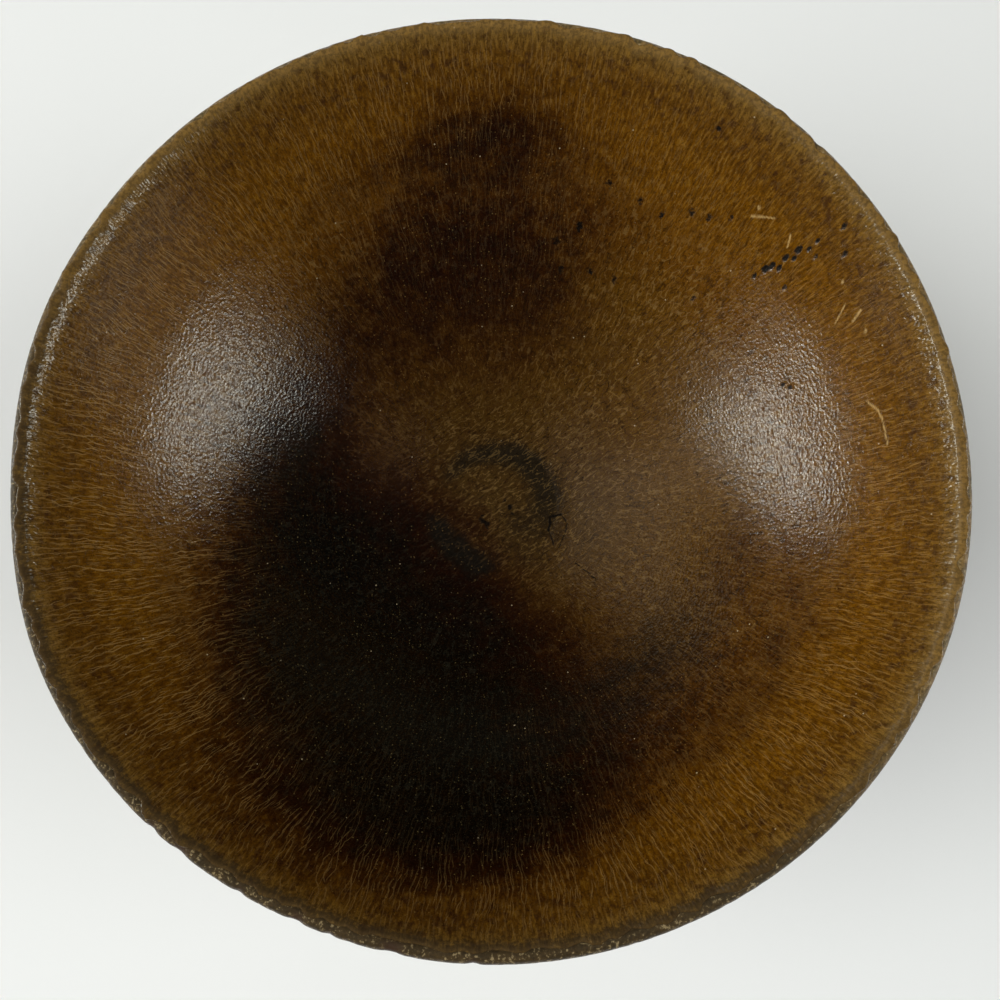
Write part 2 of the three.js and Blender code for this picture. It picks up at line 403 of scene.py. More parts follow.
def settle(angle, radius, height):
    """Moves points as the hand-thrown rim is out of true. It never goes past the solids' box."""
    share = unit(height / TOP) ** SETTLE_POWER
    wobble = sum(size * MM * bump(angle, centre, width) for centre, width, size in RIM_BUMPS) - rim_lift
    sag = RIM_SAG * (np.cos(2 * angle + SAG_TURN) - 1) / 2
    return radius + wobble * share, height + sag * share


def add_attribute(mesh, name, domain, values):
    layer = mesh.attributes.new(name, "FLOAT_VECTOR", domain)
    layer.data.foreach_set("vector", values.astype(np.float32).ravel())


def drop_loose(mesh):
    """Deletes the spare points that the columns share at the axis."""
    work = bmesh.new()
    work.from_mesh(mesh)
    bmesh.ops.delete(work, geom=[point for point in work.verts if not point.link_faces], context="VERTS")
    work.to_mesh(mesh)
    work.free()


def turned(name, angle, radius, height, down, closed, **fields):
    """A closed mesh from sections of radius and height, one row of the arrays for each angle."""
    columns, rows = radius.shape
    radius, height = settle(angle, radius, height)
    places = np.stack([radius * np.cos(angle), radius * np.sin(angle), height], axis=2).reshape(-1, 3)
    ids = np.arange(columns * rows).reshape(columns, rows)
    after = np.roll(ids, -1, axis=0)
    if closed:
        onward, beyond = np.roll(ids, -1, axis=1), np.roll(after, -1, axis=1)
        faces = np.stack([ids, onward, beyond, after], axis=2).reshape(-1, 4).tolist()
    else:
        here, there = ids[:, 1:-1], after[:, 1:-1]
        quads = np.stack([here[:, :-1], here[:, 1:], there[:, 1:], there[:, :-1]], axis=2)
        faces = quads.reshape(-1, 4).tolist()
        first, last = int(ids[0, 0]), int(ids[0, -1])
        faces += [[first, int(a), int(b)] for a, b in zip(here[:, 0], there[:, 0])]
        faces += [[int(a), last, int(b)] for a, b in zip(here[:, -1], there[:, -1])]
    mesh = bpy.data.meshes.new(name)
    mesh.from_pydata(places.tolist(), [], faces)
    mesh.polygons.foreach_set("use_smooth", np.ones(len(mesh.polygons), bool))
    turn = np.stack(np.broadcast_arrays(angle, down / MM, 0 * down), axis=2).reshape(-1, 3)
    add_attribute(mesh, "wall", "CORNER", unwrapped(mesh, turn))
    for field, values in fields.items():
        add_attribute(mesh, field, "POINT", values.reshape(-1, 3))
    if not closed:
        drop_loose(mesh)
    piece = bpy.data.objects.new(name, mesh)
    bpy.context.scene.collection.objects.link(piece)
    return piece


def unwrapped(mesh, turn):
    """The angle and depth at each face corner, the angle carried past the full turn on the last column."""
    corners = np.zeros(len(mesh.loops), np.int32)
    mesh.loops.foreach_get("vertex_index", corners)
    sizes = np.zeros(len(mesh.polygons), np.int32)
    mesh.polygons.foreach_get("loop_total", sizes)
    owner = np.repeat(np.arange(len(sizes)), sizes)
    wall = turn[corners]
    widest = np.zeros(len(sizes))
    np.maximum.at(widest, owner, wall[:, 0])
    crosses = widest[owner] > 0.75 * FULL_TURN
    wall[crosses & (wall[:, 0] < 0.25 * FULL_TURN), 0] += FULL_TURN
    return wall


def round_off(distance, reach=GLAZE_ROUND):
    flat = unit(distance / reach)
    return np.sqrt(1 - (1 - flat) ** 2)


# Pieces

# Columns round each mesh, rows along its face, and the shares of a coat's length at which its back has rows
INNER_COLUMNS = 760
INNER_ROWS = 210
BACK_SHARES = np.linspace(1, 0, 18)[1:]
OUTER_COLUMNS = 512
OUTER_ROWS = 150
LIP_COLUMNS = 900
LIP_ROWS = 50
BODY_COLUMNS = 240
FOOT_COLUMNS = 320
FOOT_ROWS = 260
# Rows of the clay's mesh up to the lip, over it, down to the bare clay and down to the seat, then on its base
BODY_ROWS = (30, 16, 24, 110)
BASE_ROWS = (6, 4, 24)
# Where the inner coat's mesh is finer: angle or depth below the lip, then width and density
COLUMN_CROWDS = ((36, 30, 5), (0, 12, 3), (345, 16, 3))
ROW_CROWDS = ((0, 1.2 * MM, 7), (11 * MM, 8 * MM, 2), (63 * MM, 4 * MM, 2))
# The outer coat's mesh is finer at its two edges: share of its length, reach and density
OUTER_CROWDS = ((0, 0.05, 3), (1, 0.12, 4))


def patches(angle, down, places):
    """Several soft patches laid over one another, each hiding a share of what is below it."""
    clear = np.ones(np.broadcast(angle, down).shape)
    for centre, depth, round_spread, down_spread, strength in places:
        reach = bell((down / MM - depth) / down_spread)
        clear *= 1 - strength * bump(angle, centre, round_spread) * reach
    return 1 - clear


def across_from(angle, centre, radius):
    """Millimetres round the wall from a centre in degrees."""
    return ((angle - math.radians(centre) + math.pi) % FULL_TURN - math.pi) * radius / MM


def pits_at(angle, radius, down):
    """Depth share of the pits at each point of the inner face."""
    share = np.zeros(down.shape)
    for centre, depth, size, strength in PITS:
        size *= PIT_SPREAD
        across = across_from(angle, centre, radius)
        far = (across / size) ** 2 + ((down / MM - depth) / (size * PIT_STRETCH)) ** 2
        share = np.maximum(share, strength * bell(far))
    return share


def strokes_at(angle, radius, down, strokes):
    """Strength of thin strokes at each point of the inner face."""
    share = np.zeros(down.shape)
    for first, first_depth, last, last_depth, half_width in strokes:
        across = across_from(angle, first, radius)
        run = math.radians((last - first + 180) % 360 - 180) * radius / MM
        drop = last_depth - first_depth
        t = unit((across * run + (down / MM - first_depth) * drop) / (run**2 + drop**2))
        far = np.hypot(across - t * run, down / MM - first_depth - t * drop)
        share = np.maximum(share, np.exp(-((far / half_width) ** 4)))
    return share


def with_back(face_along, away, back_along, gap):
    """A coat's face followed by its back, which returns to the start at a gap from the clay."""
    along = np.hstack([face_along, back_along])
    away = np.hstack([away, np.full(back_along.shape, gap)])
    return along, away


def face_fields(shape, *fields):
    """Three values at each point: the given fields on the face, and nothing past their last rows."""
    values = np.zeros(shape + (3,))
    for index, field in enumerate(fields):
        values[:, : field.shape[1], index] = field
    return values


def make_inner_glaze():
    column_crowds = [(at / 360, width / 360, density) for at, width, density in COLUMN_CROWDS]
    angle = crowded(INNER_COLUMNS + 1, *column_crowds)[:-1, None] * FULL_TURN
    reach = CREST_REACH - CREST_DIP * bump(angle, DIP_ANGLE, DIP_WIDTH)
    edge = lip_start + reach + EDGE_WAVE * ripple(angle, 0 * angle, **EDGE_RIPPLE)
    row_crowds = [(1 - at / lip_start, reach / lip_start, density) for at, reach, density in ROW_CROWDS]
    out = crowded(INNER_ROWS, *row_crowds)
    face_along = edge * out
    left = edge - face_along
    face_radius, _ = clay.beside(face_along, 0)
    down = lip_start - face_along
    full = WELL_POOL + (INNER_GLAZE - WELL_POOL) * face_along / lip_start
    thinning = LIP_THINNING + LONG_THINNING * bump(angle, LONG_ANGLE, LONG_WIDTH)
    thin = unit(1 - left / thinning)
    lost = LIP_FALL * thinning * thin**2 * (3 - 2 * thin)
    thickness = (full - lost) * round_off(left, EDGE_ROUND)
    swell = INNER_SWELL * ripple(angle, face_along, **SWELL_RIPPLE)
    swell *= unit(face_along / WELL_RADIUS - 0.5) * unit(left / LIP_THINNING - 1)
    pits = pits_at(angle, face_radius, down)
    groove = bell((face_along - WELL_RADIUS) / GROOVE_WIDTH)
    scratches = strokes_at(angle, face_radius, down, LIGHT_MARKS)
    hairlines = strokes_at(angle, face_radius, down, DARK_MARKS)
    sunk = PIT_DEPTH * pits + GROOVE_DEPTH * groove + HAIRLINE_DEPTH * hairlines
    away = COAT_GAP + thickness + swell - sunk * unit(thickness / INNER_GLAZE)
    along, away = with_back(face_along, away, edge * BACK_SHARES, COAT_GAP)
    away[:, 0] = away[0, 0]
    radius, height = clay.beside(along, away)
    dry = bell(left / INNER_DRY_EDGE)
    marks = face_fields(radius.shape, np.maximum(pits, HAIRLINE_STAIN * hairlines), scratches, dry)
    grounds = [patches(angle, down, places) for places in (DARK_GROUND_AND_PAINTED_SHADE, BLUE_STAIN_AND_PAINTED_HAZE, STREAK_FIELD)]
    ground = face_fields(radius.shape, *grounds)
    down = lip_start - along
    return turned("inner_glaze_coat", angle, radius, height, down, False, marks=marks, ground=ground)


def make_lip_glaze():
    angle = even_angles(LIP_COLUMNS)
    start = lip_start - COAT_LAP
    end = lip_end + LIP_BAND_OUTSIDE + COAT_LAP
    out = np.linspace(0, 1, LIP_ROWS)
    face_along = start + (end - start) * out + 0 * angle
    share = SKIN_INSIDE + SKIN_GAIN * unit((face_along - lip_start) / (lip_end - lip_start))
    thickness = LIP_GLAZE * share * round_off(face_along - start) * round_off(end - face_along)
    grain = SKIN_GRAIN * ripple(angle, face_along, **GRAIN_RIPPLE) * unit(thickness / LIP_GLAZE)
    chips = np.zeros(face_along.shape)
    middle = lip_start + CHIP_PLACE * (lip_end - lip_start)
    for centre, width, depth in LIP_CHIPS:
        far = np.hypot(across_from(angle, centre, RIM_RADIUS), (face_along - middle) / MM)
        chips = np.maximum(chips, depth * MM * bell(far / width))
    away = np.maximum(COAT_GAP + thickness + np.minimum(grain, 0) - chips, SKIN_LEAST)
    back_along = start + (end - start) * BACK_SHARES[:-1] + 0 * angle
    along, away = with_back(face_along, away, back_along, SKIN_BACK)
    radius, height = clay.beside(along, away)
    # Painted shade: the lip's skin darkens smoothly with the angle away from the painted light; the marks
    # carry the chips and this painted shade
    wear_and_painted_shade = (1 - np.cos(angle - math.radians(PAINTED_LIGHT_ANGLE))) / 2
    marks = face_fields(radius.shape, unit(chips / CHIP_FULL), wear_and_painted_shade + 0 * along)
    return turned("lip_glaze_skin", angle, radius, height, along - lip_start, True, marks=marks)


def run_share(angle):
    return np.max([bump(angle, run, RUN_WIDTH) for run in RUN_ANGLES], axis=0)


def hem_height(angle):
    wave = np.sin(HEM_LOBES * angle) + np.cos(HEM_FINE_LOBES * angle)
    return HEM_HEIGHT + HEM_WAVE * wave / 2 - RUN_LENGTH * run_share(angle)


def make_outer_glaze():
    angle = even_angles(OUTER_COLUMNS)
    start = lip_end + LIP_BAND_OUTSIDE + START_WAVE * ripple(angle, 0 * angle, **START_RIPPLE)
    hem = clay.length - hem_height(angle) + HEM_RAGGED * ripple(angle, 0 * angle, **HEM_RIPPLE)
    out = crowded(OUTER_ROWS, *OUTER_CROWDS)
    face_along = start + (hem - start) * out
    roll = HEM_ROLL + RUN_SWELL * run_share(angle) - OUTER_GLAZE
    swell = roll * bell((hem - face_along) / HEM_REACH)
    body = round_off(face_along - start) * round_off(hem - face_along, HEM_ROUND)
    waves = OUTER_SWELL * ripple(angle, face_along, **SWELL_RIPPLE)
    taper = OUTER_START + (1 - OUTER_START) * unit((face_along - start) / OUTER_TAPER)
    away = COAT_GAP + (OUTER_GLAZE * taper + swell + waves) * body
    back_along = start + (hem - start) * BACK_SHARES[:-1]
    along, away = with_back(face_along, away, back_along, COAT_GAP)
    radius, height = clay.beside(along, away)
    none = 0 * face_along
    dark = HEM_DARK * bell((hem - face_along) / HEM_DARK_REACH)
    streaky = STREAK_MEAN + STREAK_SWING * ripple(angle, face_along, **STREAK_RIPPLE)
    ground = face_fields(radius.shape, dark, none, np.clip(streaky, 0, STREAK_MOST))
    marks = face_fields(radius.shape, none, none, bell((face_along - start) / OUTER_DRY_EDGE))
    down = along - lip_end
    return turned("outer_glaze_coat", angle, radius, height, down, True, marks=marks, ground=ground)


def make_bowl_body():
    bare_start = clay.length - BARE_LENGTH
    stops = (0, lip_start, lip_end, bare_start, clay.length)
    rows = [np.linspace(first, last, count)[1:] for first, last, count in zip(stops, stops[1:], BODY_ROWS)]
    along = np.concatenate([[0], *rows])[None, :]
    angle = even_angles(BODY_COLUMNS)
    turning = WALL_TURNING * (np.sin(FULL_TURN * along / WALL_TURNING_PITCH + angle) - 1)
    ends = unit((clay.length - along) / TURNING_FADE) * (along > bare_start)
    radius, height = clay.beside(along + 0 * angle, turning * ends)
    corners = np.array([(SEAT_RADIUS, SEAT_Z), (boss_radius, SEAT_Z), (boss_radius, BOSS_Z), (0, BOSS_Z)])
    base = [line(first, last, count)[1:] for first, last, count in zip(corners, corners[1:], BASE_ROWS)]
    base_radius, base_height = np.vstack(base).T
    radius = np.hstack([radius, base_radius + 0 * angle])
    height = np.hstack([height, base_height + 0 * angle])
    return turned("bowl_clay", angle, radius, height, TOP - height, False)


def foot_outline():
    """Round the foot's section: standing ring, arris, edge, flare, neck, seat, bore and hollow."""
    ring_inside = np.array([RING_RADIUS - STANDING_WIDTH, 0.0])
    corner = np.array([RING_RADIUS, 0.0])
    arris_start = corner - [FOOT_ARRIS, 0]
    arris_end = corner + [0, FOOT_ARRIS]
    edge_top = np.array([RING_RADIUS, FOOT_EDGE])
    waist = np.array([SEAT_RADIUS - WAIST_INSET, FOOT_HEIGHT - WAIST_DROP])
    flare_pulls = [np.array([waist[0], height]) for height in (FOOT_EDGE, (FOOT_EDGE + waist[1]) / 2)]
    neck_pull = np.array([waist[0], (waist[1] + FOOT_HEIGHT) / 2])
    seat = np.array([SEAT_RADIUS, FOOT_HEIGHT])
    bore_top = np.array([bore_radius, FOOT_HEIGHT])
    bore_end = np.array([bore_radius, FOOT_HEIGHT - BORE_LENGTH])
    hollow_pull = np.array([bore_radius, 0.0])
    return Outline(
        line(ring_inside, arris_start, LINE_STEPS),
        curve(ARRIS_STEPS, arris_start, corner, arris_end),
        line(arris_end, edge_top, LINE_STEPS),
        curve(FOOT_STEPS, edge_top, *flare_pulls, waist),
        curve(FOOT_STEPS, waist, neck_pull, seat),
        line(seat, bore_top, LINE_STEPS),
        line(bore_top, bore_end, LINE_STEPS),
        curve(FOOT_STEPS, bore_end, hollow_pull, ring_inside),
    )


def make_foot():
    outline = foot_outline()
    along = np.linspace(0, outline.length, FOOT_ROWS)[:0:-1]
    angle = even_angles(FOOT_COLUMNS)
    radius, height = outline.beside(along + 0 * angle, 0 * angle)
    turning = FOOT_TURNING * (np.sin(FULL_TURN * height / FOOT_TURNING_PITCH + 2 * angle) - 1)
    above_ring = unit((height - TURNING_START) / TURNING_FADE)
    below_seat = unit((FOOT_HEIGHT - TURNING_STOP - height) / TURNING_FADE)
    radius = radius + turning * above_ring * below_seat
    return turned("pedestal_foot_clay", angle, radius, height, TOP - height, True)


def make_slip():
    turn = np.radians(np.linspace(-90, 90, SLIP_STEPS))
    half = SLIP_THICKNESS / 2
    middle = (FOOT_HEIGHT + SEAT_Z) / 2
    out = SEAT_RADIUS - SLIP_BULGE + SLIP_BULGE * np.cos(turn)
    front = np.stack([out, middle + half * np.sin(turn)], axis=1)
    back = ((boss_radius, SEAT_Z), (boss_radius, BOSS_Z), (bore_radius, BOSS_Z), (bore_radius, FOOT_HEIGHT))
    loop = np.vstack([front, back])[::-1]
    angle = even_angles(FOOT_COLUMNS)
    radius = np.broadcast_to(loop[:, 0], (FOOT_COLUMNS, len(loop)))
    height = np.broadcast_to(loop[:, 1], (FOOT_COLUMNS, len(loop)))
    return turned("luting_slip_ring", angle, radius, height, TOP - height, True)


# Materials

def srgb(red, green, blue):
    """A linear colour from 8-bit sRGB."""
    values = np.array([red, green, blue]) / 255
    linear = np.where(values <= 0.04045, values / 12.92, ((values + 0.055) / 1.055) ** 2.4)
    return (*linear, 1.0)


# Sockets of the mix node: factor, first and second, then the result
MIX_COLOURS = (0, 6, 7)
MIX_COLOUR_RESULT = 2
MIX_NUMBERS = (0, 2, 3)


class Shader:
    """A material with its shader, and short ways to add nodes that feed it."""

    def __init__(self, name):
        self.material = bpy.data.materials.new(name)
        self.material.use_nodes = True
        self.tree = self.material.node_tree
        self.surface = self.tree.nodes["Principled BSDF"]

    def link(self, value, socket):
        if isinstance(value, bpy.types.NodeSocket):
            self.tree.links.new(value, socket)
        else:
            socket.default_value = value

    def add(self, kind, settings=(), **inputs):
        node = self.tree.nodes.new(kind)
        for key, value in dict(settings).items():
            setattr(node, key, value)
        for key, value in inputs.items():
            self.link(value, node.inputs[key])
        return node

    def feed(self, kind, settings, values, sockets=(0, 1, 2)):
        """Adds a node that takes values in numbered sockets."""
        node = self.add(kind, settings)
        for socket, value in zip(sockets, values):
            self.link(value, node.inputs[socket])
        return node.outputs

    def math(self, operation, *values):
        return self.feed("ShaderNodeMath", {"operation": operation}, values)[0]

    def times(self, first, second):
        return self.math("MULTIPLY", first, second)

    def vector_math(self, operation, *values):
        return self.feed("ShaderNodeVectorMath", {"operation": operation}, values)[0]

    def scaled(self, vector, factor):
        node = self.add("ShaderNodeVectorMath", {"operation": "SCALE"}, Vector=vector, Scale=factor)
        return node.outputs[0]

    def attribute(self, name):
        return self.add("ShaderNodeAttribute", {"attribute_name": name}).outputs["Vector"]

    def split(self, vector):
        return self.add("ShaderNodeSeparateXYZ", Vector=vector).outputs

    def join(self, x, y, z):
        return self.add("ShaderNodeCombineXYZ", X=x, Y=y, Z=z).outputs[0]

    def place(self):
        """The point on the object, in millimetres."""
        coordinates = self.add("ShaderNodeTexCoord").outputs["Object"]
        return self.scaled(coordinates, 1 / MM)

    def noise(self, vector, scale, detail=2.0, roughness=0.5, flat=False, output="Fac"):
        settings = {"noise_dimensions": "2D" if flat else "3D"}
        inputs = {"Vector": vector, "Scale": scale, "Detail": detail, "Roughness": roughness}
        return self.add("ShaderNodeTexNoise", settings, **inputs).outputs[output]

    def noises(self, *values, **options):
        """Three noises at once, as a vector."""
        return self.noise(*values, **options, output="Color")

    def spread(self, value, low, high, to_low=0.0, to_high=1.0):
        """A smooth step as the value goes from low to high."""
        inputs = {"Value": value, "From Min": low, "From Max": high, "To Min": to_low, "To Max": to_high}
        return self.add("ShaderNodeMapRange", {"interpolation_type": "SMOOTHSTEP"}, **inputs).outputs[0]

    def mix(self, *values):
        """A colour between two colours, given the factor and both."""
        return self.feed("ShaderNodeMix", {"data_type": "RGBA"}, values, MIX_COLOURS)[MIX_COLOUR_RESULT]

    def blend(self, *values):
        """A number between two numbers, given the factor and both."""
        return self.feed("ShaderNodeMix", {"data_type": "FLOAT"}, values, MIX_NUMBERS)[0]

    def ramp(self, value, stops):
        """Colours by place along a length, each stop a place and a colour."""
        length = stops[-1][0]
        node = self.add("ShaderNodeValToRGB", Fac=self.math("DIVIDE", value, length))
        elements = node.color_ramp.elements
        while len(elements) < len(stops):
            elements.new(0.5)
        for element, (position, colour) in zip(elements, stops):
            element.position = position / length
            element.color = colour
        return node.outputs["Color"]

    def finish(self, colour, roughness, height):
        """Connects the colour, the roughness and a relief in millimetres."""
        self.link(colour, self.surface.inputs["Base Color"])
        self.link(roughness, self.surface.inputs["Roughness"])
        relief = self.add("ShaderNodeBump", Height=height, Distance=MM, Strength=1.0)
        self.link(relief.outputs["Normal"], self.surface.inputs["Normal"])
        return self.material


# Colours of the glaze: the ground by millimetres down the wall, then what lies on it
GROUND_STOPS = (
    (0, srgb(122, 92, 40)), (3, srgb(102, 68, 18)), (6, srgb(97, 62, 11)), (10, srgb(106, 67, 7)),
    (17, srgb(104, 65, 6)), (24, srgb(94, 58, 7)), (34, srgb(86, 56, 10)), (50, srgb(80, 53, 13)),
    (66, srgb(66, 45, 14)), (78, srgb(68, 48, 18)),
)
COMB_DARK = srgb(44, 22, 4)
COMB_LIGHT = srgb(150, 112, 40)
MOTTLE = srgb(50, 26, 6)
LIP_SPOT = srgb(60, 36, 18)
DEEP_RED = srgb(41, 15, 2)
DEEP_BLACK = srgb(3, 3, 2)
BLUE_BLACK = srgb(18, 20, 16)
STREAK = srgb(164, 130, 76)
STREAK_IN_SHADE = srgb(74, 62, 40)
DARK_FELT = srgb(22, 12, 3)
LIGHT_FELT = srgb(126, 98, 52)
FELT_IN_DEPTH = srgb(64, 40, 18)
FELT_IN_STAIN = srgb(56, 52, 36)
FELT_IN_SHADE = srgb(37, 37, 29)
DUST = srgb(7, 4, 2)
GRIT = srgb(62, 60, 46)
FLECK = srgb(140, 108, 56)
FLECK_IN_SHADE = srgb(104, 92, 58)
# Colour of the painted glints, tiny pale dots that stand in for specular sparkle
PAINTED_GLINT = srgb(176, 160, 128)
SCRATCH = srgb(206, 172, 110)
PIT = srgb(14, 9, 6)
# The dry edge's colour as a painted shade copy and a painted light copy, then its specks
DRY_PAINTED_SHADE = srgb(58, 46, 29)
DRY_PAINTED_LIGHT = srgb(126, 98, 52)
DRY_SPECK = srgb(52, 40, 24)

# Patterns of the glaze, spaced for a radius in millimetres
STREAK_SPACING = 0.64
STREAK_HALF_WIDTH = 0.15
STREAK_SQUEEZE = 0.35
STREAK_REACHES = (52, 36, 21)
SECOND_STREAKS = 0.75
FELT_REACHES = (46, 30, 16)
FELT_SQUEEZE = 0.33
FELT_SLANT = 35
FELT_STRETCH = 3.0
HAIR_REACH = 46
HAIR_SQUEEZE = 0.24
TICK_REACH = 57
TICK_SQUEEZE = 0.4

# Relief of the glaze in millimetres, and the roughness in its pits
PEBBLE_FALL = -0.9
GRAIN_RELIEF = 0.025
STREAK_RELIEF = 0.003
FELT_RELIEF = 0.003
PORE_RELIEF = 0.01
FINE_RELIEF = 0.006
TICK_RELIEF = 0.07
PIT_ROUGHNESS = 0.6


def glaze_fields(shader):
    """The places, marks, noises and zones that the glaze's colour and relief share."""
    fields = SimpleNamespace()
    fields.turn, fields.down, _ = shader.split(shader.attribute("wall"))
    fields.pits, fields.scratches, fields.edge = shader.split(shader.attribute("marks"))
    # The ground's channels: dark patches, partly painted shade; blue-black, with one patch of painted
    # reflection haze; where streaks show
    fields.dark, fields.blue, fields.streaky = shader.split(shader.attribute("ground"))
    fields.place = shader.place()
    fields.broad = shader.noise(fields.place, 0.35, 2.0)
    fields.mottle = shader.noise(fields.place, 0.75, 3.0, 0.6)
    fields.fine = shader.noise(fields.place, 1.9, 3.0, 0.65)
    fields.dust = shader.noise(fields.place, 4.5, 2.0, 0.7)
    zone = shader.math("MULTIPLY_ADD", fields.broad, 10.0, fields.down)
    fields.middle = shader.spread(zone, 21, 29)
    fields.inner = shader.spread(zone, 44, 54)
    fields.inward = shader.spread(zone, 54, 68)
    return fields


def wall_place(shader, fields, reach, squeeze):
    """Millimetres round and down the wall at a radius, the second squeezed so that patterns run down."""
    across = shader.times(fields.turn, reach)
    return shader.join(across, shader.times(fields.down, squeeze), 0.0)


def streaks(shader, fields, sway, reach):
    """Thin broken lines that run down the wall, spaced for the given radius."""
    count = round(FULL_TURN * reach / STREAK_SPACING)
    bent = shader.times(sway, 1 / STREAK_SPACING)
    across = shader.math("MULTIPLY_ADD", fields.turn, count / FULL_TURN, bent)
    lines = shader.spread(shader.math("PINGPONG", across, 0.5), 0.5 - STREAK_HALF_WIDTH, 0.5)
    number = shader.math("FLOORED_MODULO", shader.math("FLOOR", across), count)
    chance = shader.add("ShaderNodeTexWhiteNoise", {"noise_dimensions": "1D"}, W=number).outputs["Value"]
    breaks = shader.noise(wall_place(shader, fields, reach, STREAK_SQUEEZE), 1.1, 1.0, 0.5, flat=True)
    kept = shader.spread(shader.math("MULTIPLY_ADD", chance, 0.3, breaks), 0.48, 0.84)
    return shader.times(lines, kept)


def light_streaks(shader, fields):
    """The streaks of every zone, finer towards the well, where the streak field shows them."""
    half = (0.5, 0.5, 0.5)
    slow = shader.vector_math("SUBTRACT", shader.noises(fields.place, 0.1, 1.0), half)
    quick = shader.vector_math("SUBTRACT", shader.noises(fields.place, 0.5, 1.0), half)
    sways = shader.split(shader.vector_math("ADD", shader.scaled(slow, 3.5), shader.scaled(quick, 0.85)))
    near_lip, half_way, near_well = STREAK_REACHES
    layers = []
    for sway in sways[:2]:
        upper = streaks(shader, fields, sway, near_lip)
        layers.append(shader.blend(fields.middle, upper, streaks(shader, fields, sway, half_way)))
    lines = shader.math("MAXIMUM", layers[0], shader.times(layers[1], SECOND_STREAKS))
    lines = shader.blend(fields.inner, lines, streaks(shader, fields, sways[0], near_well))
    lines = shader.times(lines, shader.spread(fields.inward, 0.0, 1.0, 1.0, 0.15))
    return shader.times(lines, fields.streaky)


def threads(shader, vector):
    """Short matted threads along the level curves of a noise: light ones and dark ones, from 0 to 1."""
    first, second, third = shader.split(shader.noises(vector, 1.5, 1.0, 0.5, flat=True))
    layers = []
    for level, breaks in ((first, (0.0, 1.0)), (second, (1.0, 0.0))):
        off = shader.math("ABSOLUTE", shader.math("SUBTRACT", level, 0.5))
        kept = shader.spread(third, 0.42, 0.56, *breaks)
        layers.append(shader.times(shader.spread(off, 0.01, 0.07, 1.0, 0.0), kept))
    return layers


def felt(shader, fields):
    """Threads that run down the wall, spaced for the radius of each zone, and slantwise in the well."""
    slant = shader.add(
        "ShaderNodeMapping", {"vector_type": "TEXTURE"}, Vector=fields.place,
        Rotation=(0, 0, math.radians(FELT_SLANT)), Scale=(FELT_STRETCH, 1.0, 1.0),
    )
    zones = [threads(shader, wall_place(shader, fields, reach, FELT_SQUEEZE)) for reach in FELT_REACHES]
    zones.append(threads(shader, slant.outputs[0]))
    layers = zones[0]
    for factor, zone in zip((fields.middle, fields.inner, fields.inward), zones[1:]):
        layers = [shader.blend(factor, before, after) for before, after in zip(layers, zone)]
    return layers


def dots(shader, place, scale, size, chance):
    """Scattered dots, one to a cell, by their size in cells and the spread of their chance."""
    cells = shader.add("ShaderNodeTexVoronoi", {"feature": "F1"}, Vector=place, Scale=scale).outputs
    inside = shader.spread(cells["Distance"], *size, 1.0, 0.0)
    return shader.times(inside, shader.spread(shader.split(cells["Color"])[0], *chance))


def glaze_ground(shader, fields, light_felt):
    """The combed, mottled, darkened and stained ground, with the depth, shade and blue-black that made it;
    the darkening is partly painted shade and the blue-black partly painted haze.
    """
    hair = shader.noise(wall_place(shader, fields, HAIR_REACH, HAIR_SQUEEZE), 2.9, 2.0, 0.6, flat=True)
    hair = shader.blend(fields.inward, hair, fields.fine)
    calm = shader.spread(fields.down, 14, 24, 1.0, 0.45)
    ground = shader.ramp(fields.down, GROUND_STOPS)
    combed = shader.times(shader.spread(hair, 0.42, 0.64, 0.0, 0.44), calm)
    ground = shader.mix(combed, ground, COMB_DARK)
    bright = shader.times(shader.spread(hair, 0.28, 0.44, 0.28, 0.0), calm)
    ground = shader.mix(bright, ground, COMB_LIGHT)
    ground = shader.mix(shader.spread(fields.mottle, 0.48, 0.66, 0.0, 0.28), ground, MOTTLE)
    near_lip = shader.spread(fields.down, 5, 9, 1.0, 0.0)
    spots = shader.times(shader.spread(fields.mottle, 0.52, 0.68, 0.0, 0.6), near_lip)
    ground = shader.mix(spots, ground, LIP_SPOT)
    ragged = shader.times(shader.math("SUBTRACT", fields.fine, 0.5), 0.4)
    uneven = shader.math("MULTIPLY_ADD", shader.math("SUBTRACT", fields.broad, 0.5), 0.4, ragged)
    depth = shader.math("ADD", fields.dark, uneven)
    ground = shader.mix(shader.spread(depth, 0.05, 0.7), ground, DEEP_RED)
    # Part of this darkening is painted shade, on the walls turned away from the light
    shade = shader.spread(depth, 0.35, 1.0)
    ground = shader.mix(shade, ground, DEEP_BLACK)
    # Blue-black stain about the well and in the dark ground, with one patch of painted reflection haze
    stain_and_painted_haze = shader.spread(shader.math("ADD", fields.blue, uneven), 0.1, 0.85)
    stain_and_painted_haze = shader.times(stain_and_painted_haze, shader.spread(light_felt, 0.0, 1.0, 0.75, 0.45))
    return shader.mix(stain_and_painted_haze, ground, BLUE_BLACK), depth, shade, stain_and_painted_haze


